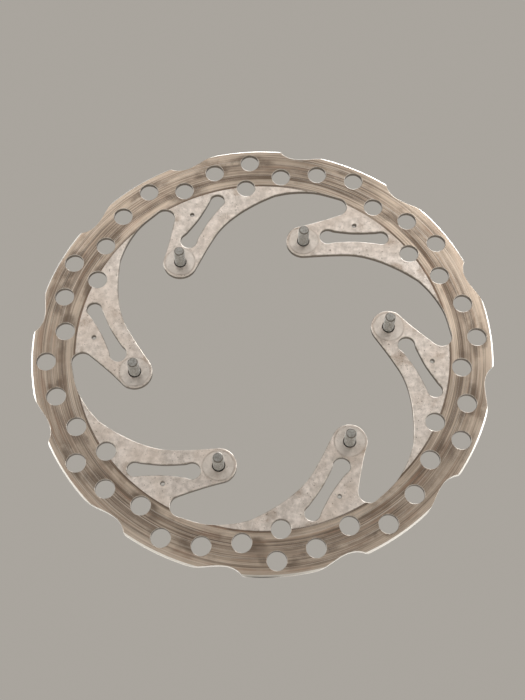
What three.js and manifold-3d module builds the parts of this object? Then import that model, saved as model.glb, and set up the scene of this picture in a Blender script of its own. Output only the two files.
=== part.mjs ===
// Wave-edged front brake disc of an off-road motorcycle, with the six bolts that hold it to its hub.
// Millimetres, +Z up. The spin axis is Y and the origin is the disc's centre, at half its thickness.
// The hub stands on the -Y side, and the bolt heads are on the +Y side.
// The disc is drawn flat, as it is seen from the hub: outline x is world +X and outline y is world +Z.
import * as THREE from 'three';
import { mergeVertices } from 'three/addons/utils/BufferGeometryUtils.js';
import Module from 'manifold-3d';

// Disc blank
const DISC_RADIUS = 125;
const DISC_THICKNESS = 3;

// Wavy rim: each wave is a crest, a slow fall to its trough and a quick rise to the next crest
const WAVE_COUNT = 12;
const WAVE_DEPTH = 4.2;
const FIRST_CREST_ANGLE = 25.4;
const CREST_SWEEP = 16.4;
const FALL_SWEEP = 9.4;

// Round holes through the swept band: radius of each row, angle of its first hole, holes in the row
const VENT_HOLE_RADIUS = 5.2;
const VENT_ROWS = [
  { rowRadius: 117, firstAngle: 3.6, count: 12 },
  { rowRadius: 113.5, firstAngle: 14, count: 12 },
  { rowRadius: 108, firstAngle: 24.4, count: 12 },
  { rowRadius: 100.6, firstAngle: 35.4, count: 6 },
];

// Lugs on the bolt circle, each at the end of its own swept-back arm
const LUG_COUNT = 6;
const FIRST_LUG_ANGLE = 10.9;
const BOLT_CIRCLE_RADIUS = 70;
const LUG_RADIUS = 9.5;
const BOLT_HOLE_RADIUS = 3.25;

// Arm outline in the frame of its own lug: x runs outwards through the lug, y turns with the angle
const LEADING_EDGE = [[67.9, -67.8], [70.7, -56.4], [72.2, -43.5], [71.4, -31], [67.6, -19]];
const LEADING_EDGE_TURN = 207;
const TRAILING_EDGE = [[82, -1], [87.8, -8.6]];
const TRAILING_EDGE_TURN = 45;

// Window between two arms: its rounded corner, then the slope of its rim side to the next arm's root
const CORNER_CENTRE = { radius: 97.7, angle: -6.4 };
const CORNER_RADIUS = 5.8;
const CORNER_SWEEP = [216, 352];
const WINDOW_RIM_SIDE = [
  { radius: 102.4, angle: 0.5 },
  { radius: 101, angle: 5 },
  { radius: 98.6, angle: 10.3 },
];

// Dog-bone slot along each arm, and the small hole beside it
const SLOT_OUTER_END = { x: 86.2, y: -40.7, radius: 4.2 };
const SLOT_INNER_END = { x: 77.3, y: -12.2, radius: 4.7 };
const SLOT_WAIST_HALF_WIDTH = 2.9;
const SMALL_HOLE = { x: 88.7, y: -24.1, radius: 1.2 };

// M6 hexagon flange bolts
const BOLT_SHANK_RADIUS = 2.95;
const BOLT_LENGTH = 16;
const BOLT_TIP_CHAMFER = 0.8;
const FLANGE_RADIUS = 6.5;
const FLANGE_EDGE_HEIGHT = 0.9;
const FLANGE_TOP_HEIGHT = 1.9;
const HEX_ACROSS_FLATS = 8;
const HEAD_HEIGHT = 6;
const HEAD_CHAMFER = 0.7;
const SEAT_GAP = 0.05;

// Faces per round feature
const HOLE_STEPS = 16;
const SMALL_HOLE_STEPS = 8;
const BOLT_STEPS = 20;

const FULL_TURN = 360;
const CENTRE = new THREE.Vector2(0, 0);

const wasm = await Module();
wasm.setup();

const rad = THREE.MathUtils.degToRad;

function polarPoint(radius, angle) {
  return new THREE.Vector2(radius * Math.cos(rad(angle)), radius * Math.sin(rad(angle)));
}

function turnedPoint(x, y, angle) {
  return new THREE.Vector2(x, y).rotateAround(CENTRE, rad(angle));
}

// Points along an arc from one angle to another; a falling angle runs clockwise.
function arcPoints(centre, radius, from, to, steps) {
  const arc = new THREE.EllipseCurve(centre.x, centre.y, radius, radius, rad(from), rad(to), to < from);
  return arc.getPoints(steps);
}

// A curve that leaves one point along a unit direction and arrives at another along a second one.
function blendPoints(start, startDirection, end, endDirection, pull, steps) {
  const startHandle = start.clone().addScaledVector(startDirection, pull);
  const endHandle = end.clone().addScaledVector(endDirection, -pull);
  return new THREE.CubicBezierCurve(start, startHandle, endHandle, end).getPoints(steps);
}

// Joins runs of points into one loop, leaving out a point that repeats the one before it.
function joinRuns(runs) {
  const loop = [];
  for (const point of runs.flat()) {
    const last = loop[loop.length - 1];
    if (!last || last.distanceTo(point) > 0.01) loop.push(point);
  }
  if (loop[0].distanceTo(loop[loop.length - 1]) < 0.01) loop.pop();
  return loop;
}

function roundHole(centre, radius, steps = HOLE_STEPS) {
  return new THREE.Path(joinRuns([arcPoints(centre, radius, 0, FULL_TURN, steps)]));
}

// One wave of the rim: the crest, the fall to the trough, and the scooped rise to the next crest.
function wavePoints(crestAngle) {
  const waveSweep = FULL_TURN / WAVE_COUNT;
  const fallAngle = crestAngle + CREST_SWEEP;
  const troughAngle = fallAngle + FALL_SWEEP;
  const nextCrestAngle = crestAngle + waveSweep;
  const crestEnd = polarPoint(DISC_RADIUS, fallAngle);
  const trough = polarPoint(DISC_RADIUS - WAVE_DEPTH, troughAngle);
  const nextCrest = polarPoint(DISC_RADIUS, nextCrestAngle);
  const alongCrest = polarPoint(1, fallAngle + 90);
  const alongTrough = polarPoint(1, troughAngle + 90);
  const upRise = polarPoint(1, nextCrestAngle + 35);
  return [
    arcPoints(CENTRE, DISC_RADIUS, crestAngle, fallAngle, 5),
    blendPoints(crestEnd, alongCrest, trough, alongTrough, 7.5, 6),
    blendPoints(trough, alongTrough, nextCrest, upRise, 3.2, 4),
  ].flat();
}

function rimOutline() {
  const runs = [];
  for (let i = 0; i < WAVE_COUNT; i += 1) {
    runs.push(wavePoints(FIRST_CREST_ANGLE + (i * FULL_TURN) / WAVE_COUNT));
  }
  return joinRuns(runs);
}

// The inner outline beside one lug: in along the arm's leading edge, round the lug, out along the
// trailing edge, round the window's corner and along the window's rim side.
function armAndWindowPoints(lugAngle) {
  const lugCentre = new THREE.Vector2(BOLT_CIRCLE_RADIUS, 0);
  const corner = polarPoint(CORNER_CENTRE.radius, CORNER_CENTRE.angle);
  const lug = arcPoints(lugCentre, LUG_RADIUS, LEADING_EDGE_TURN, TRAILING_EDGE_TURN, 9);
  const leadingPoints = LEADING_EDGE.map(([x, y]) => new THREE.Vector2(x, y));
  const trailingPoints = TRAILING_EDGE.map(([x, y]) => new THREE.Vector2(x, y));
  const leading = new THREE.SplineCurve([...leadingPoints, lug[0]]).getPoints(14);
  const roundedCorner = arcPoints(corner, CORNER_RADIUS, ...CORNER_SWEEP, 7);
  const trailing = new THREE.SplineCurve([lug.at(-1), ...trailingPoints, roundedCorner[0]]);
  const nextRoot = turnedPoint(...LEADING_EDGE[0], FULL_TURN / LUG_COUNT);
  const rimSide = WINDOW_RIM_SIDE.map(({ radius, angle }) => polarPoint(radius, angle));
  const rim = new THREE.SplineCurve([roundedCorner.at(-1), ...rimSide, nextRoot]).getPoints(10);
  const run = [leading, lug, trailing.getPoints(5), roundedCorner, rim].flat();
  return run.map((point) => turnedPoint(point.x, point.y, lugAngle));
}

// The six windows meet in the middle, so they are one opening, through which the hub's spigot passes.
function centreOpening() {
  const runs = lugAngles().map(armAndWindowPoints);
  return new THREE.Path(joinRuns(runs));
}

function lugAngles() {
  return Array.from({ length: LUG_COUNT }, (_, i) => FIRST_LUG_ANGLE + (i * FULL_TURN) / LUG_COUNT);
}

// Two round ends joined by sides that bow in to the waist.
function dogBoneSlot(lugAngle) {
  const outer = new THREE.Vector2(SLOT_OUTER_END.x, SLOT_OUTER_END.y);
  const inner = new THREE.Vector2(SLOT_INNER_END.x, SLOT_INNER_END.y);
  const along = outer.clone().sub(inner).normalize();
  const across = new THREE.Vector2(-along.y, along.x);
  const heading = THREE.MathUtils.radToDeg(along.angle());
  const middle = outer.clone().add(inner).multiplyScalar(0.5);
  const waist = (side) => middle.clone().addScaledVector(across, side * SLOT_WAIST_HALF_WIDTH);
  const outerEnd = arcPoints(outer, SLOT_OUTER_END.radius, heading - 118, heading + 118, 9);
  const innerEnd = arcPoints(inner, SLOT_INNER_END.radius, heading + 55, heading + 305, 9);
  const farSide = new THREE.SplineCurve([outerEnd.at(-1), waist(1), innerEnd[0]]).getPoints(6);
  const nearSide = new THREE.SplineCurve([innerEnd.at(-1), waist(-1), outerEnd[0]]).getPoints(6);
  const loop = joinRuns([outerEnd, farSide, innerEnd, nearSide]);
  return new THREE.Path(loop.map((point) => turnedPoint(point.x, point.y, lugAngle)));
}

function ventHoles() {
  const holes = [];
  for (const { rowRadius, firstAngle, count } of VENT_ROWS) {
    for (let i = 0; i < count; i += 1) {
      const centre = polarPoint(rowRadius, firstAngle + (i * FULL_TURN) / count);
      holes.push(roundHole(centre, VENT_HOLE_RADIUS));
    }
  }
  return holes;
}

function lugHoles() {
  return lugAngles().flatMap((angle) => [
    roundHole(polarPoint(BOLT_CIRCLE_RADIUS, angle), BOLT_HOLE_RADIUS),
    roundHole(turnedPoint(SMALL_HOLE.x, SMALL_HOLE.y, angle), SMALL_HOLE.radius, SMALL_HOLE_STEPS),
    dogBoneSlot(angle),
  ]);
}

function brakeDisc() {
  const outline = new THREE.Shape(rimOutline());
  outline.holes.push(centreOpening(), ...ventHoles(), ...lugHoles());
  const plate = new THREE.ExtrudeGeometry(outline, { depth: DISC_THICKNESS, bevelEnabled: false });
  const steel = new THREE.MeshStandardMaterial({ color: 0xb3a698, roughness: 0.42, metalness: 0.9 });
  const disc = new THREE.Mesh(plate, steel);
  disc.name = 'brake_disc';
  disc.rotation.x = Math.PI / 2;
  disc.position.y = DISC_THICKNESS / 2;
  return disc;
}

function toSolid(geometry) {
  const bare = geometry.clone();
  bare.deleteAttribute('normal');
  bare.deleteAttribute('uv');
  const merged = mergeVertices(bare, 1e-4);
  const vertProperties = new Float32Array(merged.attributes.position.array);
  const triVerts = new Uint32Array(merged.index.array);
  return new wasm.Manifold(new wasm.Mesh({ numProp: 3, vertProperties, triVerts }));
}

function toGeometry(solid) {
  const mesh = solid.getMesh();
  const geometry = new THREE.BufferGeometry();
  geometry.setAttribute('position', new THREE.BufferAttribute(mesh.vertProperties, 3));
  geometry.setIndex(new THREE.BufferAttribute(mesh.triVerts, 1));
  geometry.computeVertexNormals();
  return geometry;
}

function turnedSolid(profile, steps) {
  const points = profile.map(([radius, height]) => new THREE.Vector2(radius, height));
  return toSolid(new THREE.LatheGeometry(points, steps));
}

// Shank, tip and flange, with the flange's underside at height 0 and the shank hanging below it.
function shankAndFlange() {
  const neckRadius = HEX_ACROSS_FLATS / 2;
  return turnedSolid([
    [0, -BOLT_LENGTH],
    [BOLT_SHANK_RADIUS - BOLT_TIP_CHAMFER, -BOLT_LENGTH],
    [BOLT_SHANK_RADIUS, BOLT_TIP_CHAMFER - BOLT_LENGTH],
    [BOLT_SHANK_RADIUS, 0],
    [FLANGE_RADIUS, 0],
    [FLANGE_RADIUS, FLANGE_EDGE_HEIGHT],
    [neckRadius, FLANGE_TOP_HEIGHT],
    [0, FLANGE_TOP_HEIGHT],
  ], BOLT_STEPS);
}

// A hexagon whose top corners are turned away by a shallow cone.
function hexHead() {
  const cornerRadius = HEX_ACROSS_FLATS / Math.sqrt(3);
  const bottom = FLANGE_EDGE_HEIGHT;
  const corners = arcPoints(CENTRE, cornerRadius, 0, FULL_TURN, 6);
  const hexagon = new THREE.Shape(joinRuns([corners]));
  const prism = new THREE.ExtrudeGeometry(hexagon, { depth: HEAD_HEIGHT - bottom, bevelEnabled: false });
  prism.rotateX(-Math.PI / 2);
  prism.translate(0, bottom, 0);
  const chamferCone = turnedSolid([
    [0, bottom],
    [cornerRadius + 0.1, bottom],
    [cornerRadius + 0.1, HEAD_HEIGHT - HEAD_CHAMFER],
    [HEX_ACROSS_FLATS / 2 - 0.2, HEAD_HEIGHT],
    [0, HEAD_HEIGHT],
  ], BOLT_STEPS);
  return toSolid(prism).intersect(chamferCone);
}

function boltGeometry() {
  return toGeometry(shankAndFlange().add(hexHead()));
}

function boltAt(geometry, lugAngle, number) {
  const plating = new THREE.MeshStandardMaterial({ color: 0x9a958c, roughness: 0.45, metalness: 0.9 });
  const bolt = new THREE.Mesh(geometry, plating);
  const place = polarPoint(BOLT_CIRCLE_RADIUS, lugAngle);
  bolt.name = `disc_bolt_${number}`;
  bolt.position.set(place.x, DISC_THICKNESS / 2 + SEAT_GAP, place.y);
  bolt.rotation.y = -rad(lugAngle);
  return bolt;
}

const rotor = new THREE.Group();
const sharedBolt = boltGeometry();
rotor.add(brakeDisc());
lugAngles().forEach((angle, i) => rotor.add(boltAt(sharedBolt, angle, i + 1)));

export default rotor;
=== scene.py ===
"""Looks for the off-road motorcycle brake disc and its six bolts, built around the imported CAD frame."""
import math

import bmesh
import bpy
import numpy as np
from mathutils import Matrix, Vector


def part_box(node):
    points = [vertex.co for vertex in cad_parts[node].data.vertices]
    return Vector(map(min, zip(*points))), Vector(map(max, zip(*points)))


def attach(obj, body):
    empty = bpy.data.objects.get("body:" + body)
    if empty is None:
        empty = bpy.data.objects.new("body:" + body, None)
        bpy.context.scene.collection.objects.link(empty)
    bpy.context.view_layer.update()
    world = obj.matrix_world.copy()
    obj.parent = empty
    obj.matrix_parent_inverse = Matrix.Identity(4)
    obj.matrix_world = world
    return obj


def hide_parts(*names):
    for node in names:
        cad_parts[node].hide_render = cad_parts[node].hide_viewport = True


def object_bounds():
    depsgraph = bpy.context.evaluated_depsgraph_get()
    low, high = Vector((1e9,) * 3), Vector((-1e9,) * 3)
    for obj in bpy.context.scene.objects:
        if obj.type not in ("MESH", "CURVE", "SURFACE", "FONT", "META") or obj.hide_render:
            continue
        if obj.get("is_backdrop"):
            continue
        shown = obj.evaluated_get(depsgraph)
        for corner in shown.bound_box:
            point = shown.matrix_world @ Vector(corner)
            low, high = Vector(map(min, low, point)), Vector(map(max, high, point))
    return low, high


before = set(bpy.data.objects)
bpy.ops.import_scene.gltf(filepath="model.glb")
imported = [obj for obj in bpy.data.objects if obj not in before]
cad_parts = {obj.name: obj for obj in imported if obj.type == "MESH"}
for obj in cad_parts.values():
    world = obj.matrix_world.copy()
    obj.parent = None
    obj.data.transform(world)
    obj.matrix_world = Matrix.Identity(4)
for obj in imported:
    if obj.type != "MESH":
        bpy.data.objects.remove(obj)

# Shapes are drawn in millimetres and scaled once, when they become meshes.
MM = 0.001
FULL_TURN = 360.0
CENTRE = (0.0, 0.0)
SAME_POINT_GAP = 1e-6

# Disc outline, the same design as the CAD: x is +X and the outline's y is +Z, seen from the hub side
DISC_RADIUS = 125.0
WAVE_COUNT, WAVE_DEPTH = 12, 4.2
TROUGH_RADIUS = DISC_RADIUS - WAVE_DEPTH
FIRST_CREST_ANGLE, CREST_SWEEP, FALL_SWEEP = 25.4, 16.4, 9.4
# A longer pull holds a curve's end directions further. The rise meets the crest this far off straight out.
FALL_PULL, RISE_PULL, RISE_END_TURN = 7.5, 3.2, 35.0
VENT_HOLE_RADIUS = 5.2
# Each row of vent holes: its radius, the angle of its first hole and how many holes it has
VENT_ROWS = [(117.0, 3.6, 12), (113.5, 14.0, 12), (108.0, 24.4, 12), (100.6, 35.4, 6)]
LUG_COUNT, FIRST_LUG_ANGLE, BOLT_CIRCLE_RADIUS = 6, 10.9, 70.0
LUG_RADIUS, BOLT_HOLE_RADIUS = 9.5, 3.25

# Arm outline in its lug's own frame, where x runs outwards through the lug. The two turns are where the
# arm's edges meet the lug's round end. The window's corner and rim side are given by radius and angle.
LEADING_EDGE = [(67.9, -67.8), (70.7, -56.4), (72.2, -43.5), (71.4, -31.0), (67.6, -19.0)]
LEADING_EDGE_TURN, TRAILING_EDGE_TURN = 207.0, 45.0
TRAILING_EDGE = [(82.0, -1.0), (87.8, -8.6)]
CORNER_PLACE, CORNER_RADIUS, CORNER_SWEEP = (97.7, -6.4), 5.8, (216.0, 352.0)
WINDOW_RIM_SIDE = [(102.4, 0.5), (101.0, 5.0), (98.6, 10.3)]
# Each end of the slot: its centre and radius, and the angles of its arc from the slot's own direction
SLOT_OUTER_END, SLOT_OUTER_RADIUS, SLOT_OUTER_SWEEP = (86.2, -40.7), 4.2, (-118, 118)
SLOT_INNER_END, SLOT_INNER_RADIUS, SLOT_INNER_SWEEP = (77.3, -12.2), 4.7, (55, 305)
SLOT_WAIST_HALF_WIDTH = 2.9
SMALL_HOLE_PLACE, SMALL_HOLE_RADIUS = (88.7, -24.1), 1.2

# Surface of the disc
OUTLINE_STEP = 0.62
ROUND_HOLE_STEP, FEWEST_HOLE_POINTS = 0.7, 16
CORNER_SOFTENING_PASSES = 8
CHAMFER = 0.3
CREST_CHAMFER = 0.85
BEVEL_RADIUS = DISC_RADIUS - CREST_CHAMFER
SWEPT_INNER_RADIUS = 101.3
SWEPT_WEAR = 0.09
LIP_WIDTH = 0.3
SCORE_SPACING = (0.2, 0.5)
SCORE_DEPTH = 0.02
TRACK_DEPTH = 0.05
# The tracks that the pads have worn: a radius, and how bright the steel is there, from 0 to 1. Brighter
# steel stands higher.
WEAR_TRACKS = [(101.3, 0.04), (102.1, 0.10), (102.9, 0.80), (105.6, 0.76), (106.8, 0.30), (108.7, 0.28),
               (109.6, 0.46), (116.0, 0.54), (117.6, 0.66), (118.8, 0.66), (119.9, 0.52), (121.2, 0.72),
               (123.6, 0.86), (126.0, 0.90)]
# The turned ring that gives the disc its worn faces
LATHE_INNER_RADIUS, LATHE_OUTER_RADIUS = 55.0, 125.4
LATHE_SEGMENTS = 384
LATHE_CLEARANCE = 0.3
WEAR_SEED = 11
DISC_SHARP_ANGLE = 22

# M6 flange bolt, measured up from the flange's underside
THREAD_RADIUS, THREAD_ROOT_RADIUS, THREAD_PITCH = 2.98, 2.42, 1.0
THREAD_STEEPNESS, THREAD_CREST_WIDTH, THREAD_ROUNDING = 2.9, 0.28, 0.35
THREAD_TOP = -2.2
THREAD_STEPS_PER_PITCH = 12
# The tip: its 45 degree chamfer, the edge below that, and how hollow its end face is
TIP_CHAMFER, TIP_ROUNDING, TIP_STEP, TIP_HOLLOW = 0.75, 0.15, 0.02, 0.25
NECK_RADIUS = 2.62
# The fillet under the flange: how far it stands out from the neck, and its height
NECK_FILLET = [(0.0, -0.35), (0.1, -0.1), (0.35, 0.0)]
FLANGE_RADIUS = 6.5
# Radius and height round the flange's rim, from below
FLANGE_RIM = [(6.2, 0.0), (6.4, 0.05), (FLANGE_RADIUS, 0.2), (FLANGE_RADIUS, 0.72), (6.42, 0.9), (6.22, 1.0)]
FLANGE_TOP_SLOPE = 0.36
HEX_HALF_FLATS, HEX_CORNER_RADIUS, HEX_CORNER_SHARPNESS = 4.0, 4.48, 14
# The fillet at the hexagon's foot: how far out from the hexagon, and how far above the flange's top
HEX_FOOT = [(0.5, 0.0), (0.16, 0.05), (0.03, 0.2), (0.0, 0.4)]
# The hexagon's top edge: how far below the chamfer's edge, and how far in
HEX_TOP_EDGE = [(0.3, 0.0), (0.06, 0.0), (0.0, 0.03)]
BOLT_HEAD_HEIGHT = 6.0
HEAD_FLAT_RADIUS = 3.62
HEAD_CHAMFER_SLOPE = math.tan(math.radians(30))
DISH_DEPTH = 0.32
# Radius and rise of the head's top, in from its chamfer to the floor of the dish
HEAD_TOP = [(HEAD_FLAT_RADIUS + 0.04, -0.02), (HEAD_FLAT_RADIUS - 0.1, 0.0), (3.2, 0.0), (3.0, -0.07),
            (2.75, -DISH_DEPTH + 0.06), (2.55, -DISH_DEPTH), (1.2, -DISH_DEPTH)]
BOLT_SEGMENTS = 72
BOLT_TURN_SEED = 5
BOLT_SHARP_ANGLE = 32

# Colours of the swept band
BAND_DARK, BAND_BRIGHT = (0.155, 0.112, 0.082), (0.71, 0.58, 0.462)
RUST = (0.42, 0.275, 0.195)
PAD_STAIN = (0.19, 0.128, 0.088)
PAD_DUST = (0.13, 0.095, 0.07)
DARK_SCORE, BRIGHT_SCORE = (0.10, 0.075, 0.057), (0.86, 0.80, 0.72)

# Colours of the arms and lugs, with the clamping marks on the lugs and the ways that the scratches run
ARM_DARK, ARM_BRIGHT = (0.545, 0.48, 0.425), (0.88, 0.79, 0.72)
ROAD_DUST = (0.53, 0.435, 0.36)
ARM_STAIN = (0.36, 0.265, 0.195)
ARM_SPOT = (0.14, 0.10, 0.073)
HAIR_SCRATCH = (0.90, 0.87, 0.82)
CLAMPED_STEEL, CLAMPED_EDGE = (0.66, 0.62, 0.57), (0.22, 0.165, 0.12)
LOBE_MARK_RADIUS, FLANGE_MARK_RADIUS = 8.3, 6.7
SCRATCH_HEADINGS = [17.0, 74.0, 128.0, 163.0]

# The disc's cut walls and broken edges, their bright rim colours, the darkening of its corners, how deep its
# bumps are and how brushed it looks
WALL_DARK, WALL_BRIGHT = (0.055, 0.042, 0.032), (0.21, 0.175, 0.14)
EDGE_DARK, EDGE_BRIGHT = (0.27, 0.225, 0.18), (0.56, 0.51, 0.45)
# Near-white rim colours: partly polish, partly a painted highlight on the crest bevel and the rim wall
POLISH_AND_GLINT_DARK, POLISH_AND_GLINT_BRIGHT = (0.72, 0.68, 0.62), (0.90, 0.87, 0.82)
# Painted shade mixed with grime: a darker colour in corners and close gaps, found by how shut in a point is
# within the reach, in millimetres
DISC_GRIME_AND_SHADE, DISC_SHADE_REACH = (0.13, 0.10, 0.075), 2.5
DISC_RELIEF = 0.012
BRUSHING = 0.42

# The bolts' plating, its darker colour in the thread roots and its painted shade in the corners, and how
# deep its bumps are
PLATING_DARK, PLATING_BRIGHT = (0.30, 0.285, 0.26), (0.49, 0.475, 0.445)
BOLT_DIRT_AND_SHADE, BOLT_SHADE_REACH = (0.09, 0.07, 0.05), 1.5
BOLT_RELIEF = 0.006

# Studio, in metres and watts
CAMERA_PLACE = Vector((-0.0013, -0.6498, -0.2790))
CAMERA_LENS = 67.0
BACKDROP = (0.40, 0.375, 0.34)
ROOM_TINT = (1.0, 0.99, 0.97)
ROOM_BELOW, ROOM_ABOVE = 0.18, 0.55
FLOOR_RADIUS, FLOOR_FADE = 2.8, (0.9, 2.6)
FLOOR_FOR_STEEL, FLOOR_FOR_CAMERA = (0.66, 0.65, 0.63), (0.37, 0.36, 0.345)
WARM, WHITE, COOL = (1.0, 0.98, 0.95), (1.0, 1.0, 1.0), (0.97, 0.985, 1.0)
# Each softbox: its name, place, width, height, power and colour. Those for the faces are placed for the
# hub side, and turned half round for the other.
FACE_SOFTBOXES = [("key", (0.9, -1.3, 1.2), 1.1, 0.9, 8.5, WARM),
                  ("high", (-0.65, -1.15, 1.4), 0.9, 0.7, 6.0, WARM),
                  ("fill", (-1.4, -1.2, 0.5), 1.2, 1.2, 5.0, COOL)]
EDGE_SOFTBOXES = [("top_strip", (0.5, 0.6, 1.4), 1.5, 0.7, 15.0, WHITE),
                  ("left_strip", (-1.5, 0.1, 0.35), 0.8, 1.2, 8.0, WHITE),
                  ("right_strip", (1.5, 0.1, 0.35), 0.8, 1.2, 8.0, WHITE)]
BACK_POWER = 0.8


# ---------------------------------------------------------------- outline curves

def polar(radius, angle):
    return np.array([radius * math.cos(math.radians(angle)), radius * math.sin(math.radians(angle))])


def turned(points, angle):
    c, s = math.cos(math.radians(angle)), math.sin(math.radians(angle))
    return np.asarray(points, float) @ np.array([[c, s], [-s, c]])


def arc(centre, radius, start, end, step=0.5):
    count = max(3, math.ceil(abs(math.radians(end - start)) * radius / step))
    angles = np.radians(np.linspace(start, end, count + 1))
    return np.asarray(centre) + radius * np.column_stack([np.cos(angles), np.sin(angles)])


def sweep_between(start, start_direction, end, end_direction, pull, count=24):
    """A curve that leaves the start and reaches the end along the given directions."""
    start_handle = start + start_direction * pull
    end_handle = end - end_direction * pull
    t = np.linspace(0.0, 1.0, count + 1)[:, None]
    u = 1.0 - t
    return u**3 * start + 3 * u * u * t * start_handle + 3 * u * t * t * end_handle + t**3 * end


def spline(points, per_span=12):
    """A Catmull-Rom curve through the points, with its ends repeated."""
    p = np.vstack([points[:1], points, points[-1:]]).astype(float)
    t = np.linspace(0.0, 1.0, per_span + 1)[:-1, None]
    spans = []
    for a, b, c, d in zip(p[:-3], p[1:-2], p[2:-1], p[3:]):
        start_slope, end_slope = (c - a) / 2, (d - b) / 2
        spans.append((2 * b - 2 * c + start_slope + end_slope) * t**3
                     + (3 * c - 3 * b - 2 * start_slope - end_slope) * t**2 + start_slope * t + b)
    return np.vstack(spans + [p[-1:]])


def even_loop(points, step):
    """The closed loop through the points, resampled at an even step."""
    closed = np.vstack([points, points[:1]])
    lengths = np.linalg.norm(np.diff(closed, axis=0), axis=1)
    apart = lengths > SAME_POINT_GAP
    closed = closed[np.concatenate([[True], apart])]
    along = np.concatenate([[0.0], np.cumsum(lengths[apart])])
    count = round(along[-1] / step)
    places = np.linspace(0.0, along[-1], count + 1)[:-1]
    return np.column_stack([np.interp(places, along, closed[:, i]) for i in range(2)])


def averaged(loop):
    for _ in range(CORNER_SOFTENING_PASSES):
        loop = (np.roll(loop, 1, axis=0) + 2 * loop + np.roll(loop, -1, axis=0)) / 4
    return loop


def soften(loop):
    """Rounds a loop's corners without shrinking its curves, by giving back what a second averaging takes."""
    once = averaged(loop)
    return 2 * once - averaged(once)


def material_on_left(loop, is_hole):
    x, y = loop.T
    area = np.sum(x * np.roll(y, -1) - np.roll(x, -1) * y) / 2
    return loop[::-1] if (area > 0) == is_hole else loop


def inset(loop, distance):
    """The loop moved sideways into the material, which lies on its left."""
    tangent = np.roll(loop, -1, axis=0) - np.roll(loop, 1, axis=0)
    tangent /= np.linalg.norm(tangent, axis=1)[:, None]
    return loop + distance * np.column_stack([-tangent[:, 1], tangent[:, 0]])


# ---------------------------------------------------------------- disc outline

def wave(crest_angle):
    """One wave of the rim: its crest, the fall to the trough and the scooped rise to the next crest."""
    fall_angle = crest_angle + CREST_SWEEP
    trough_angle = fall_angle + FALL_SWEEP
    next_crest_angle = crest_angle + FULL_TURN / WAVE_COUNT
    crest_end = polar(DISC_RADIUS, fall_angle)
    trough = polar(TROUGH_RADIUS, trough_angle)
    next_crest = polar(DISC_RADIUS, next_crest_angle)
    along_crest = polar(1.0, fall_angle + 90)
    along_trough = polar(1.0, trough_angle + 90)
    up_to_crest = polar(1.0, next_crest_angle + RISE_END_TURN)
    return np.vstack([
        arc(CENTRE, DISC_RADIUS, crest_angle, fall_angle)[:-1],
        sweep_between(crest_end, along_crest, trough, along_trough, FALL_PULL)[:-1],
        sweep_between(trough, along_trough, next_crest, up_to_crest, RISE_PULL)[:-1],
    ])


def rim():
    crests = [FIRST_CREST_ANGLE + i * FULL_TURN / WAVE_COUNT for i in range(WAVE_COUNT)]
    return soften(even_loop(np.vstack([wave(angle) for angle in crests]), OUTLINE_STEP))


def lug_angles():
    return [FIRST_LUG_ANGLE + i * FULL_TURN / LUG_COUNT for i in range(LUG_COUNT)]


def arm_and_window(lug_angle):
    """In along the arm's leading edge, round the lug, out again, and round the window to the next arm."""
    lug = arc((BOLT_CIRCLE_RADIUS, 0.0), LUG_RADIUS, LEADING_EDGE_TURN, TRAILING_EDGE_TURN)
    corner = arc(polar(*CORNER_PLACE), CORNER_RADIUS, *CORNER_SWEEP)
    rim_side = [polar(*place) for place in WINDOW_RIM_SIDE]
    next_root = turned([LEADING_EDGE[0]], FULL_TURN / LUG_COUNT)[0]
    path = np.vstack([
        spline(np.vstack([LEADING_EDGE, lug[:1]]))[:-1],
        lug[:-1],
        spline(np.vstack([lug[-1:], TRAILING_EDGE, corner[:1]]))[:-1],
        corner[:-1],
        spline(np.vstack([corner[-1:], rim_side, [next_root]]))[:-1],
    ])
    return turned(path, lug_angle)


def centre_opening():
    path = np.vstack([arm_and_window(angle) for angle in lug_angles()])
    return soften(even_loop(path, OUTLINE_STEP))


def dog_bone_slot(lug_angle):
    outer, inner = np.array(SLOT_OUTER_END), np.array(SLOT_INNER_END)
    along = (outer - inner) / np.linalg.norm(outer - inner)
    across = np.array([-along[1], along[0]])
    heading = math.degrees(math.atan2(along[1], along[0]))
    middle = (outer + inner) / 2
    outer_end = arc(outer, SLOT_OUTER_RADIUS, *[heading + turn for turn in SLOT_OUTER_SWEEP])
    inner_end = arc(inner, SLOT_INNER_RADIUS, *[heading + turn for turn in SLOT_INNER_SWEEP])
    waist = across * SLOT_WAIST_HALF_WIDTH
    far_side = spline(np.vstack([outer_end[-1:], [middle + waist], inner_end[:1]]))
    near_side = spline(np.vstack([inner_end[-1:], [middle - waist], outer_end[:1]]))
    path = np.vstack([outer_end[:-1], far_side[:-1], inner_end[:-1], near_side[:-1]])
    return turned(soften(even_loop(path, OUTLINE_STEP)), lug_angle)


def round_hole(centre, radius):
    count = max(FEWEST_HOLE_POINTS, round(math.tau * radius / ROUND_HOLE_STEP))
    return arc(centre, radius, 0.0, FULL_TURN, math.tau * radius / count)[:-1]


def disc_loops():
    """The disc's rim and every opening in it, each as a loop with the material on its left."""
    openings = [centre_opening()]
    for row_radius, first_angle, count in VENT_ROWS:
        for i in range(count):
            centre = polar(row_radius, first_angle + i * FULL_TURN / count)
            openings.append(round_hole(centre, VENT_HOLE_RADIUS))
    for angle in lug_angles():
        openings.append(round_hole(polar(BOLT_CIRCLE_RADIUS, angle), BOLT_HOLE_RADIUS))
        openings.append(round_hole(turned([SMALL_HOLE_PLACE], angle)[0], SMALL_HOLE_RADIUS))
        openings.append(dog_bone_slot(angle))
    return [material_on_left(rim(), False)] + [material_on_left(loop, True) for loop in openings]


# ---------------------------------------------------------------- mesh helpers

def bridge(bm, ring, following):
    """Faces between two closed rings that have as many points."""
    for i in range(len(ring)):
        j = (i + 1) % len(ring)
        bm.faces.new((ring[i], ring[j], following[j], following[i]))


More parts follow.
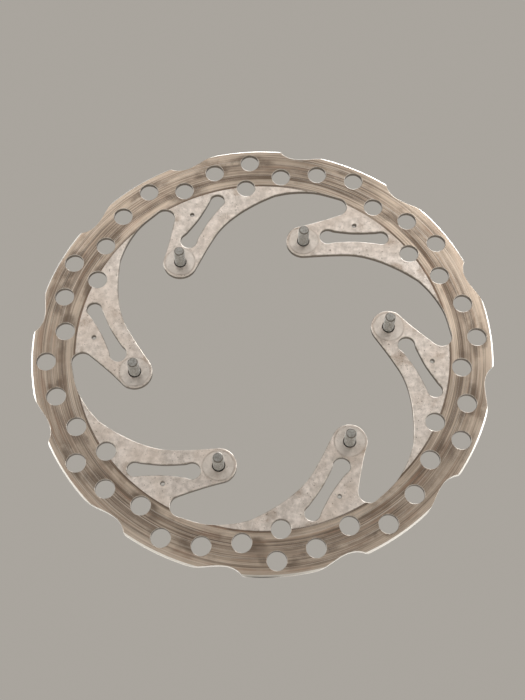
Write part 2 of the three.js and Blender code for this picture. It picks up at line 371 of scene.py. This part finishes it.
def to_object(bm, name):
    mesh = bpy.data.meshes.new(name)
    bm.to_mesh(mesh)
    bm.free()
    made = bpy.data.objects.new(name, mesh)
    bpy.context.scene.collection.objects.link(made)
    return made


def common_solid(first, second, name):
    """What two solids share, as a new object in place of both."""
    cut = first.modifiers.new("common", "BOOLEAN")
    cut.operation = "INTERSECT"
    cut.solver = "MANIFOLD"
    cut.object = second
    depsgraph = bpy.context.evaluated_depsgraph_get()
    mesh = bpy.data.meshes.new_from_object(first.evaluated_get(depsgraph), depsgraph=depsgraph)
    for used in (first, second):
        old = used.data
        bpy.data.objects.remove(used)
        bpy.data.meshes.remove(old)
    made = bpy.data.objects.new(name, mesh)
    bpy.context.scene.collection.objects.link(made)
    return made


def smooth_by_angle(mesh, degrees):
    mesh.shade_smooth()
    mesh.set_sharp_from_angle(angle=math.radians(degrees))


# ---------------------------------------------------------------- disc mesh

def chamfered_plate(loops, half_thickness, chamfer):
    """A flat plate with the given outline, each of its edges broken by a small chamfer."""
    bm = bmesh.new()
    outer_cap, hub_cap = [], []
    for loop in loops:
        broken = inset(loop, chamfer)
        levels = [(broken, -half_thickness), (loop, chamfer - half_thickness),
                  (loop, half_thickness - chamfer), (broken, half_thickness)]
        rings = [[bm.verts.new((x, level, z)) for x, z in points] for points, level in levels]
        for low, high in zip(rings[:-1], rings[1:]):
            bridge(bm, low, high)
        for cap, ring in ((hub_cap, rings[0]), (outer_cap, rings[-1])):
            cap += [bm.edges.get((ring[i], ring[(i + 1) % len(ring)])) for i in range(len(ring))]
    for cap in (hub_cap, outer_cap):
        bmesh.ops.triangle_fill(bm, use_beauty=True, use_dissolve=False, edges=cap)
    bmesh.ops.recalc_face_normals(bm, faces=bm.faces[:])
    return to_object(bm, "outline")


def worn_profile(rng, half_thickness):
    """Radii and heights of one face, from inside the lugs to outside the rim: score lines in worn tracks."""
    radii = [LATHE_INNER_RADIUS, SWEPT_INNER_RADIUS - LIP_WIDTH]
    heights = [half_thickness + LATHE_CLEARANCE] * 2
    worn = half_thickness - SWEPT_WEAR
    radius = SWEPT_INNER_RADIUS
    while radius < BEVEL_RADIUS - SCORE_SPACING[0]:
        track = np.interp(radius, *zip(*WEAR_TRACKS)) - 1.0
        radii.append(radius)
        heights.append(worn + TRACK_DEPTH * track - SCORE_DEPTH * rng.random() ** 3)
        radius += rng.uniform(*SCORE_SPACING)
    radii += [BEVEL_RADIUS, LATHE_OUTER_RADIUS]
    heights += [worn, worn - (LATHE_OUTER_RADIUS - BEVEL_RADIUS)]
    return np.array(radii), np.array(heights)


def turned_ring(half_thickness):
    """The ring that wear has turned on both faces, closed on itself so that it's one solid."""
    rng = np.random.default_rng(WEAR_SEED)
    outer_radii, outer_heights = worn_profile(rng, half_thickness)
    hub_radii, hub_heights = worn_profile(rng, half_thickness)
    radii = np.concatenate([outer_radii, hub_radii[::-1]])
    heights = np.concatenate([outer_heights, -hub_heights[::-1]])
    bm = bmesh.new()
    rings = []
    for i in range(LATHE_SEGMENTS):
        angle = math.tau * i / LATHE_SEGMENTS
        c, s = math.cos(angle), math.sin(angle)
        rings.append([bm.verts.new((r * c, h, r * s)) for r, h in zip(radii, heights)])
    for ring, following in zip(rings, rings[1:] + rings[:1]):
        bridge(bm, ring, following)
    bmesh.ops.recalc_face_normals(bm, faces=bm.faces[:])
    return to_object(bm, "turned_ring")


def make_disc():
    half_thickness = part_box("brake_disc")[1].y / MM
    plate = chamfered_plate(disc_loops(), half_thickness, CHAMFER)
    disc = common_solid(turned_ring(half_thickness), plate, "worn_brake_disc")
    disc.data.transform(Matrix.Scale(MM, 4))
    smooth_by_angle(disc.data, DISC_SHARP_ANGLE)
    return disc


# ---------------------------------------------------------------- bolt mesh

def thread_radius(height, angle):
    """Radius of the threaded shank: one helical ridge whose crest and root are a little rounded."""
    phase = (height / THREAD_PITCH - angle / math.tau) % 1.0
    ridge = np.clip(1.0 - abs(phase - 0.5) * THREAD_STEEPNESS + THREAD_CREST_WIDTH, 0.0, 1.0)
    ridge = ridge * ridge * (3 - 2 * ridge) * THREAD_ROUNDING + ridge * (1.0 - THREAD_ROUNDING)
    return THREAD_ROOT_RADIUS + (THREAD_RADIUS - THREAD_ROOT_RADIUS) * ridge


def hexagon_radius(angle):
    """Radius of the hexagon at an angle, with its corners slightly rounded."""
    sixth = math.tau / 6
    off_flat = (angle + sixth / 2) % sixth - sixth / 2
    sharp = HEX_HALF_FLATS / np.cos(off_flat)
    k = HEX_CORNER_SHARPNESS
    return -np.logaddexp(-sharp * k, -HEX_CORNER_RADIUS * k) / k


def shank_rings(length, angles):
    """Rings up the shank, from its tip through the thread and the neck to the flange."""
    flat = np.ones_like(angles)
    tip_radius = THREAD_RADIUS - TIP_CHAMFER
    count = round((length + THREAD_TOP) / THREAD_PITCH * THREAD_STEPS_PER_PITCH)
    rings = [((tip_radius - TIP_ROUNDING) * flat, -length * flat)]
    for height in np.linspace(-length + TIP_STEP, THREAD_TOP, count + 1):
        cone = tip_radius + (height + length)
        fade = min(1.0, (THREAD_TOP - height) / THREAD_PITCH)
        radius = NECK_RADIUS + (thread_radius(height, angles) - NECK_RADIUS) * fade
        rings.append((np.minimum(radius, cone), height * flat))
    return rings + [((NECK_RADIUS + out) * flat, height * flat) for out, height in NECK_FILLET]


def flange_top(radius):
    """Height of the flange's sloping top at a radius."""
    rim_radius, rim_height = FLANGE_RIM[-1]
    return rim_height + (rim_radius - radius) * FLANGE_TOP_SLOPE


def head_rings(angles):
    """Rings out under the flange, up its rim and the hexagon, and in over the chamfer to the dished top."""
    flat = np.ones_like(angles)
    hexagon = hexagon_radius(angles)
    chamfer_edge = BOLT_HEAD_HEIGHT - (hexagon - HEAD_FLAT_RADIUS) * HEAD_CHAMFER_SLOPE
    rings = [(radius * flat, height * flat) for radius, height in FLANGE_RIM]
    rings += [(hexagon + out, flange_top(hexagon + out) + up) for out, up in HEX_FOOT]
    rings += [(hexagon - inward, chamfer_edge - down + inward * HEAD_CHAMFER_SLOPE)
              for down, inward in HEX_TOP_EDGE]
    rings += [(radius * flat, (BOLT_HEAD_HEIGHT + rise) * flat) for radius, rise in HEAD_TOP]
    return rings


def close_end(bm, ring, height):
    """Faces from an end ring to a point on the bolt's axis."""
    middle = bm.verts.new((0.0, height, 0.0))
    for i in range(len(ring)):
        bm.faces.new((ring[i], ring[(i + 1) % len(ring)], middle))


def bolt_solid(length, name):
    """The bolt in its own frame: its axis is y, and its flange's underside is at 0."""
    angles = np.linspace(0.0, math.tau, BOLT_SEGMENTS, endpoint=False)
    bm = bmesh.new()
    rings = []
    for radii, heights in shank_rings(length, angles) + head_rings(angles):
        rings.append([bm.verts.new((r * math.cos(a), h, r * math.sin(a)))
                      for a, r, h in zip(angles, radii, heights)])
    for ring, following in zip(rings[:-1], rings[1:]):
        bridge(bm, ring, following)
    close_end(bm, rings[0], -length + TIP_HOLLOW)
    close_end(bm, rings[-1], BOLT_HEAD_HEIGHT - DISH_DEPTH)
    bmesh.ops.recalc_face_normals(bm, faces=bm.faces[:])
    return to_object(bm, name)


def keep_own_frame(mesh):
    """Stores where each point is in the bolt's own frame, for its material."""
    points = np.zeros(len(mesh.vertices) * 3, np.float32)
    mesh.vertices.foreach_get("co", points)
    mesh.attributes.new("bolt_frame", "FLOAT_VECTOR", "POINT").data.foreach_set("vector", points)


def make_bolt(node, name, turn):
    """A detailed bolt in the place of a CAD bolt."""
    low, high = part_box(node)
    tip_place = Vector(((low.x + high.x) / 2, low.y, (low.z + high.z) / 2)) / MM
    length = (high.y - low.y) / MM - BOLT_HEAD_HEIGHT
    flange_place = tip_place + Vector((0.0, length, 0.0))
    bolt = bolt_solid(length, name)
    keep_own_frame(bolt.data)
    bolt.data.transform(Matrix.Translation(flange_place) @ Matrix.Rotation(turn, 4, "Y"))
    bolt.data.transform(Matrix.Scale(MM, 4))
    smooth_by_angle(bolt.data, BOLT_SHARP_ANGLE)
    return bolt


# ---------------------------------------------------------------- shader nodes

class Nodes:
    """The node tree of a material or world. Each short call adds a node and returns its output socket."""

    def __init__(self, owner):
        owner.use_nodes = True
        self.tree = owner.node_tree
        self.tree.nodes.clear()

    def plug(self, socket, value):
        if isinstance(value, bpy.types.NodeSocket):
            self.tree.links.new(value, socket)
        else:
            socket.default_value = value

    def node(self, kind, inputs=None, **settings):
        made = self.tree.nodes.new(kind)
        for key, value in settings.items():
            setattr(made, key, value)
        for key, value in (inputs or {}).items():
            self.plug(made.inputs[key], value)
        return made

    def math(self, operation, a, b=0.0):
        return self.node("ShaderNodeMath", {0: a, 1: b}, operation=operation).outputs[0]

    def add(self, a, b):
        return self.math("ADD", a, b)

    def times(self, a, b):
        return self.math("MULTIPLY", a, b)

    def swing(self, noise, amount):
        """The noise as a change around zero, of the given size."""
        return self.times(self.math("SUBTRACT", noise, 0.5), amount)

    def step(self, value, low, high):
        """0 below low, 1 above high, and smooth between. A low above high turns it round."""
        limits = {"Value": value, "From Min": low, "From Max": high}
        return self.node("ShaderNodeMapRange", limits, interpolation_type="SMOOTHSTEP").outputs[0]

    def noise(self, vector, scale, detail, roughness=0.5):
        inputs = {"Vector": vector, "Scale": scale, "Detail": detail, "Roughness": roughness}
        return self.node("ShaderNodeTexNoise", inputs).outputs["Fac"]

    def mix(self, share, a, b):
        """From colour a to colour b as the share goes from 0 to 1."""
        made = self.node("ShaderNodeMix", data_type="RGBA")
        for index, value in ((0, share), (6, a), (7, b)):
            self.plug(made.inputs[index], (*value, 1.0) if isinstance(value, tuple) else value)
        return made.outputs[2]

    def tinted(self, base, tint, mask, strength):
        """The base colour, taken towards the tint where the mask is 1."""
        return self.mix(self.times(mask, strength), base, tint)

    def blend(self, share, a, b):
        """From number a to number b as the share goes from 0 to 1."""
        return self.node("ShaderNodeMix", {0: share, 2: a, 3: b}, data_type="FLOAT").outputs[0]

    def vector(self, x, y, z):
        return self.node("ShaderNodeCombineXYZ", {0: x, 1: y, 2: z}).outputs[0]

    def parts(self, vector):
        return self.node("ShaderNodeSeparateXYZ", {0: vector}).outputs

    def scaled(self, vector, factor):
        return self.node("ShaderNodeVectorMath", {0: vector, "Scale": factor}, operation="SCALE").outputs[0]

    def length(self, vector):
        return self.node("ShaderNodeVectorMath", {0: vector}, operation="LENGTH").outputs["Value"]

    def unit(self, vector):
        return self.node("ShaderNodeVectorMath", {0: vector}, operation="NORMALIZE").outputs[0]

    def curve(self, value, points):
        """The value looked up on a line through the points, each of them a value and a result."""
        low, high = points[0][0], points[-1][0]
        share = self.math("DIVIDE", self.math("SUBTRACT", value, low), high - low)
        made = self.node("ShaderNodeFloatCurve", {"Value": share})
        line = made.mapping.curves[0]
        for place, result in points[1:-1]:
            line.points.new((place - low) / (high - low), result)
        line.points[0].location = (0.0, points[0][1])
        line.points[-1].location = (1.0, points[-1][1])
        made.mapping.update()
        return made.outputs[0]

    def openness(self, reach):
        """1 in the open, and less where surfaces closer than the reach, in millimetres, shut a point in."""
        return self.node("ShaderNodeAmbientOcclusion", {"Distance": reach * MM},
                         samples=8, only_local=True).outputs["AO"]

    def surface(self, relief, depth, **inputs):
        """Makes this the tree of a principled surface, with bumps as deep as depth, in millimetres."""
        bump = self.node("ShaderNodeBump", {"Height": relief, "Distance": depth * MM, "Strength": 1.0})
        named = {key.replace("_", " "): value for key, value in inputs.items()}
        finish = self.node("ShaderNodeBsdfPrincipled", {**named, "Normal": bump.outputs[0]})
        self.node("ShaderNodeOutputMaterial", {"Surface": finish.outputs[0]})


# ---------------------------------------------------------------- disc material

class DiscPoint:
    """Where a shaded point of the disc is, in millimetres, with the masks and noises its finishes share."""

    def __init__(self, s):
        self.s = s
        coordinates = s.node("ShaderNodeTexCoord")
        self.place = s.scaled(coordinates.outputs["Object"], 1.0 / MM)
        self.x, self.y, self.z = s.parts(self.place)
        in_plane = s.vector(self.x, 0.0, self.z)
        self.radius = s.length(in_plane)
        self.angle = s.math("ARCTAN2", self.z, self.x)
        self.around_x, _, self.around_z = s.parts(s.unit(in_plane))
        self.outer_side = s.step(self.y, -0.5, 0.5)
        self.add_masks(coordinates.outputs["Normal"])
        self.add_noises()

    def add_masks(self, normal):
        s = self.s
        normal_x, normal_y, normal_z = s.parts(normal)
        facing = s.math("ABSOLUTE", normal_y)
        outward = s.add(s.times(normal_x, self.around_x), s.times(normal_z, self.around_z))
        near_rim = s.step(self.radius, TROUGH_RADIUS - 1.0, TROUGH_RADIUS - 0.4)
        self.off_wall = s.step(facing, 0.3, 0.5)
        self.on_face = s.step(facing, 0.86, 0.95)
        self.swept = s.step(self.radius, SWEPT_INNER_RADIUS - 0.15, SWEPT_INNER_RADIUS + 0.1)
        self.bevel = s.step(self.radius, BEVEL_RADIUS - 0.1, BEVEL_RADIUS + 0.1)
        self.rim_wall = s.times(near_rim, s.step(outward, 0.05, 0.3))

    def add_noises(self):
        s = self.s
        self.scores = self.ring_noise(per_mm=3.6, arcs=0.9, detail=2.0, offset=0.0)
        self.lines = self.ring_noise(per_mm=1.5, arcs=1.4, detail=2.0, offset=11.0)
        self.clouds = s.noise(self.place, scale=0.03, detail=4.0, roughness=0.6)
        self.patches = s.noise(self.place, scale=0.075, detail=4.0, roughness=0.6)
        self.mottle = s.noise(self.place, scale=0.35, detail=4.0, roughness=0.6)
        self.grain = s.noise(self.place, scale=3.2, detail=3.0, roughness=0.7)
        saw_place = s.vector(s.times(self.x, 2.2), s.times(self.y, 0.35), s.times(self.z, 2.2))
        self.saw_marks = s.noise(saw_place, scale=1.0, detail=2.0, roughness=0.6)

    def ring_noise(self, per_mm, arcs, detail, offset):
        """Noise that changes fast across the radius and slowly around the disc, and differs by face."""
        s = self.s
        shift = s.add(s.times(self.outer_side, 37.0), offset)
        across = s.add(s.times(self.radius, per_mm), shift)
        place = s.vector(across, s.times(self.around_x, arcs), s.times(self.around_z, arcs))
        return s.noise(place, scale=1.0, detail=detail, roughness=0.6)


def from_nearest_hole(s, at, row_radius, first_angle, count, arc_scale=1.0):
    """Distance from the nearest of a ring of even holes. A small arc_scale stretches it along the ring."""
    half_pitch = math.pi / count
    off = s.math("SUBTRACT", at.angle, math.radians(first_angle))
    wrapped = s.node("ShaderNodeMath", {0: off, 1: half_pitch, 2: -half_pitch}, operation="WRAP").outputs[0]
    along_ring = s.times(wrapped, row_radius * arc_scale)
    return s.length(s.vector(s.math("SUBTRACT", at.radius, row_radius), along_ring, 0.0))


def vent_smears(s, at):
    """1 beside a vent hole, fading to 0 further along the way that the pads drag the dust."""
    nearest = 100.0
    for row in VENT_ROWS:
        nearest = s.math("MINIMUM", nearest, from_nearest_hole(s, at, *row, arc_scale=0.42))
    return s.step(nearest, VENT_HOLE_RADIUS + 1.8, VENT_HOLE_RADIUS - 1.6)


def hair_scratches(s, at, heading):
    """Thin bright lines that run along the heading, bent a little by a slow noise so that none is ruled."""
    cosine, sine = math.cos(math.radians(heading)), math.sin(math.radians(heading))
    along = s.add(s.times(at.x, cosine), s.times(at.z, sine))
    across = s.add(s.times(at.x, -sine), s.times(at.z, cosine))
    bend = s.times(s.noise(s.vector(at.x, heading, at.z), scale=0.05, detail=1.0), 26.0)
    bent = s.vector(s.times(along, 0.09), heading, s.add(s.times(across, 3.4), bend))
    return s.step(s.noise(bent, scale=1.0, detail=0.0), 0.78, 0.84)


def swept_band(s, at):
    """Colour and roughness where the pads sweep: worn tracks, lines and scores under stains and dust."""
    tracks = at.ring_noise(per_mm=0.5, arcs=2.2, detail=2.0, offset=23.0)
    arcs = at.ring_noise(per_mm=0.16, arcs=2.8, detail=3.0, offset=31.0)
    rust = at.ring_noise(per_mm=0.7, arcs=2.4, detail=3.0, offset=47.0)
    bright_lines = at.ring_noise(per_mm=5.2, arcs=1.1, detail=1.0, offset=59.0)
    dark_lines = at.ring_noise(per_mm=4.3, arcs=0.8, detail=1.0, offset=73.0)
    track = s.curve(s.add(at.radius, s.swing(tracks, 1.6)), WEAR_TRACKS)
    fine = s.add(s.swing(at.scores, 0.8), s.swing(at.lines, 1.3))
    brightness = s.add(s.add(s.times(track, 0.95), -0.03), s.add(fine, s.swing(arcs, 1.1)))
    brightness = s.add(brightness, s.swing(at.clouds, 0.8))
    rusty = s.times(s.step(rust, 0.50, 0.66), s.step(at.patches, 0.35, 0.6))
    stained = s.times(s.step(arcs, 0.5, 0.66), s.step(at.patches, 0.42, 0.62))
    dusty = s.step(s.add(arcs, s.times(at.patches, 0.8)), 0.84, 1.04)
    colour = s.mix(s.step(brightness, -0.1, 1.05), BAND_DARK, BAND_BRIGHT)
    colour = s.tinted(colour, RUST, rusty, strength=0.55)
    colour = s.tinted(colour, PAD_STAIN, stained, strength=0.6)
    colour = s.tinted(colour, PAD_DUST, s.times(vent_smears(s, at), dusty), strength=0.65)
    colour = s.tinted(colour, DARK_SCORE, s.step(dark_lines, 0.60, 0.70), strength=0.55)
    colour = s.tinted(colour, BRIGHT_SCORE, s.step(bright_lines, 0.61, 0.70), strength=0.65)
    return colour, s.blend(brightness, 0.44, 0.29)


def blasted_arms(s, at):
    """Colour and roughness of the arms and lugs: dust, stains, dark spots and scratches on blasted steel."""
    dusty = s.step(at.clouds, 0.40, 0.62)
    large_noise = s.noise(at.place, scale=0.62, detail=3.0, roughness=0.6)
    small_noise = s.noise(at.place, scale=1.7, detail=2.0, roughness=0.6)
    small_spots = s.step(s.add(small_noise, s.times(at.patches, 0.35)), 0.84, 0.91)
    spots = s.math("MAXIMUM", s.step(large_noise, 0.635, 0.70), small_spots)
    colour = s.mix(s.step(at.mottle, 0.25, 0.8), ARM_DARK, ARM_BRIGHT)
    colour = s.tinted(colour, ROAD_DUST, dusty, strength=0.4)
    colour = s.tinted(colour, ARM_STAIN, s.step(at.patches, 0.54, 0.70), strength=0.6)
    colour = s.tinted(colour, ARM_SPOT, spots, strength=0.78)
    for heading in SCRATCH_HEADINGS:
        colour = s.tinted(colour, HAIR_SCRATCH, hair_scratches(s, at, heading), strength=0.45)
    roughness = s.add(s.blend(at.mottle, 0.34, 0.46), s.times(s.add(dusty, spots), 0.07))
    return colour, roughness


def clamp_marks(s, at, colour):
    """The colour with the marks on the lugs: a lobe's on the hub side and a bolt flange's on the other."""
    from_bolt = from_nearest_hole(s, at, BOLT_CIRCLE_RADIUS, FIRST_LUG_ANGLE, LUG_COUNT)
    mark_radius = s.blend(at.outer_side, LOBE_MARK_RADIUS, FLANGE_MARK_RADIUS)
    past_mark = s.math("SUBTRACT", from_bolt, mark_radius)
    clamped = s.step(past_mark, 0.3, -0.5)
    edge = s.times(s.step(s.math("ABSOLUTE", past_mark), 0.8, 0.0), s.step(at.mottle, 0.36, 0.66))
    colour = s.tinted(colour, CLAMPED_STEEL, clamped, strength=0.4)
    return s.tinted(colour, CLAMPED_EDGE, edge, strength=0.6)


def edges_and_walls(s, at):
    """Colours of the broken edges and of the cut walls. Round the rim both are painted bright: partly
    polish, partly a painted highlight where they catch the lamps.
    """
    edge = s.mix(s.step(at.mottle, 0.3, 0.6), EDGE_DARK, EDGE_BRIGHT)
    wall = s.mix(at.saw_marks, WALL_DARK, WALL_BRIGHT)
    # Painted highlight with polish: the crest bevel and rim wall get a near-white colour
    polish_and_glint = s.mix(s.step(at.lines, 0.3, 0.6), POLISH_AND_GLINT_DARK, POLISH_AND_GLINT_BRIGHT)
    return s.mix(at.bevel, edge, polish_and_glint), s.mix(at.rim_wall, wall, polish_and_glint)


def disc_steel():
    """Stainless steel: scored and browned where the pads sweep, blasted and spotted on the arms."""
    material = bpy.data.materials.new("worn_disc_steel")
    s = Nodes(material)
    at = DiscPoint(s)
    band, band_roughness = swept_band(s, at)
    arm, arm_roughness = blasted_arms(s, at)
    edge, wall = edges_and_walls(s, at)
    # Painted shade mixed with grime: corners that nearby surfaces shut in are darkened, in patches
    grime_and_shade = s.times(s.step(s.openness(DISC_SHADE_REACH), 0.95, 0.55), s.step(at.mottle, 0.3, 0.65))

    colour = s.mix(at.swept, clamp_marks(s, at, arm), band)
    colour = s.tinted(colour, DISC_GRIME_AND_SHADE, grime_and_shade, strength=0.6)
    colour = s.mix(at.on_face, edge, colour)
    colour = s.mix(at.off_wall, wall, colour)

    roughness = s.blend(at.swept, arm_roughness, band_roughness)
    roughness = s.blend(at.on_face, 0.30, roughness)
    roughness = s.blend(at.off_wall, s.blend(at.rim_wall, 0.5, 0.3), roughness)

    relief = s.blend(at.swept, s.times(at.grain, 1.6), s.add(at.scores, s.times(at.lines, 0.5)))
    relief = s.blend(s.times(at.bevel, 0.8), relief, 0.5)
    relief = s.blend(at.off_wall, s.times(at.saw_marks, 1.5), relief)

    brushed = s.times(s.times(at.swept, at.on_face), BRUSHING)
    tangent = s.node("ShaderNodeTangent", direction_type="RADIAL", axis="Y").outputs[0]
    s.surface(relief, DISC_RELIEF, Base_Color=colour, Metallic=0.94, Roughness=roughness,
              Anisotropic=brushed, Anisotropic_Rotation=0.25, Tangent=tangent)
    return material


# ---------------------------------------------------------------- bolt and floor materials

def bolt_steel():
    """Dull plated steel, darker in the roots of the thread, with painted shade in the corners."""
    material = bpy.data.materials.new("plated_bolt_steel")
    s = Nodes(material)
    x, height, z = s.parts(s.node("ShaderNodeAttribute", attribute_name="bolt_frame").outputs["Vector"])
    radius = s.length(s.vector(x, 0.0, z))
    coordinates = s.node("ShaderNodeTexCoord")
    place = s.scaled(coordinates.outputs["Object"], 1.0 / MM)
    facing = s.math("ABSOLUTE", s.parts(coordinates.outputs["Normal"])[1])
    cloud = s.noise(place, scale=0.9, detail=4.0, roughness=0.6)
    grain = s.noise(place, scale=6.0, detail=3.0, roughness=0.6)
    on_thread = s.times(s.step(height, THREAD_TOP + 0.2, THREAD_TOP - 0.3), s.step(facing, 0.92, 0.85))
    in_root = s.times(on_thread, s.step(radius, THREAD_RADIUS - 0.1, THREAD_ROOT_RADIUS + 0.1))
    # Painted shade: corners that nearby surfaces shut in are darkened
    shaded_corner = s.step(s.openness(BOLT_SHADE_REACH), 0.9, 0.4)
    dirt_and_shade = s.math("MAXIMUM", s.times(in_root, 0.8), s.times(shaded_corner, 0.75))
    plating = s.mix(s.step(cloud, 0.35, 0.7), PLATING_DARK, PLATING_BRIGHT)
    roughness = s.add(s.blend(cloud, 0.26, 0.42), s.times(dirt_and_shade, 0.3))
    s.surface(grain, BOLT_RELIEF, Base_Color=s.mix(dirt_and_shade, plating, BOLT_DIRT_AND_SHADE), Metallic=0.95,
              Roughness=roughness)
    return material


def floor_finish():
    """A floor that fades out far away and is clear from below. The camera sees it darker than the steel."""
    material = bpy.data.materials.new("studio_floor")
    s = Nodes(material)
    geometry = s.node("ShaderNodeNewGeometry")
    x, y, _ = s.parts(geometry.outputs["Position"])
    away = s.step(s.length(s.vector(x, y, 0.0)), *FLOOR_FADE)
    clear = s.math("MAXIMUM", away, geometry.outputs["Backfacing"])
    seen = s.node("ShaderNodeLightPath").outputs["Is Camera Ray"]
    paint = s.node("ShaderNodeBsdfPrincipled", {"Base Color": s.mix(seen, FLOOR_FOR_STEEL, FLOOR_FOR_CAMERA),
                                                "Roughness": 0.8, "Specular IOR Level": 0.1})
    open_air = s.node("ShaderNodeBsdfTransparent")
    mixed = s.node("ShaderNodeMixShader", {0: clear, 1: paint.outputs[0], 2: open_air.outputs[0]})
    s.node("ShaderNodeOutputMaterial", {"Surface": mixed.outputs[0]})
    return material


# ---------------------------------------------------------------- studio

def make_floor(height):
    bm = bmesh.new()
    bmesh.ops.create_circle(bm, cap_ends=True, segments=64, radius=FLOOR_RADIUS)
    bmesh.ops.translate(bm, verts=bm.verts[:], vec=(0.0, 0.0, height))
    floor = to_object(bm, "studio_floor")
    floor.data.materials.append(floor_finish())
    floor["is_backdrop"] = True


def make_world():
    """The camera sees a plain pale backdrop; the metal sees a dimmer room that is brighter above."""
    world = bpy.data.worlds.new("studio")
    bpy.context.scene.world = world
    s = Nodes(world)
    up = s.parts(s.node("ShaderNodeTexCoord").outputs["Generated"])[2]
    levels = {"Value": up, "From Min": -1.0, "From Max": 1.0, "To Min": ROOM_BELOW, "To Max": ROOM_ABOVE}
    strength = s.node("ShaderNodeMapRange", levels).outputs[0]
    room = s.node("ShaderNodeBackground", {"Color": (*ROOM_TINT, 1.0), "Strength": strength}).outputs[0]
    backdrop = s.node("ShaderNodeBackground", {"Color": (*BACKDROP, 1.0)}).outputs[0]
    seen = s.node("ShaderNodeLightPath").outputs["Is Camera Ray"]
    mixed = s.node("ShaderNodeMixShader", {0: seen, 1: room, 2: backdrop}).outputs[0]
    s.node("ShaderNodeOutputWorld", {"Surface": mixed})


def softbox(name, place, width, height, power, colour):
    """A rectangular lamp that faces the disc's centre."""
    light = bpy.data.lights.new(name, "AREA")
    light.shape = "RECTANGLE"
    light.size, light.size_y = width, height
    light.energy = power
    light.color = colour
    lamp = bpy.data.objects.new(name, light)
    lamp.location = place
    lamp.rotation_euler = (-Vector(place)).to_track_quat("-Z", "Y").to_euler()
    bpy.context.scene.collection.objects.link(lamp)


def make_lights():
    """Three softboxes light each face; strips above and beside the disc draw its edges bright."""
    for side, turn, share in (("front", 1.0, 1.0), ("back", -1.0, BACK_POWER)):
        for name, (x, y, z), width, height, power, colour in FACE_SOFTBOXES:
            softbox(f"{side}_{name}", (x * turn, y * turn, z), width, height, power * share, colour)
    for light in EDGE_SOFTBOXES:
        softbox(*light)


def make_camera():
    camera = bpy.data.objects.new("camera", bpy.data.cameras.new("camera"))
    camera.data.lens = CAMERA_LENS
    camera.data.clip_start = 0.01
    camera.location = CAMERA_PLACE
    camera.rotation_euler = (-CAMERA_PLACE).to_track_quat("-Z", "Y").to_euler()
    bpy.context.scene.collection.objects.link(camera)
    bpy.context.scene.camera = camera


# ---------------------------------------------------------------- assembly

def add_piece(piece, material, node, body):
    """Gives a piece its material, and puts it in the place of a CAD node on that node's body."""
    piece.data.materials.clear()
    piece.data.materials.append(material)
    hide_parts(node)
    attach(piece, body)


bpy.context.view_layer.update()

add_piece(make_disc(), disc_steel(), "brake_disc", "disc")

bolt_turns = np.random.default_rng(BOLT_TURN_SEED).uniform(0.0, math.tau, LUG_COUNT)
plated = bolt_steel()
for number, turn in enumerate(bolt_turns, start=1):
    bolt = make_bolt(f"disc_bolt_{number}", f"flange_bolt_{number}", turn)
    add_piece(bolt, plated, f"disc_bolt_{number}", f"bolt_{number}")

make_floor(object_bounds()[0].z)
make_world()
make_lights()
make_camera()
bpy.context.scene.view_settings.view_transform = "Standard"
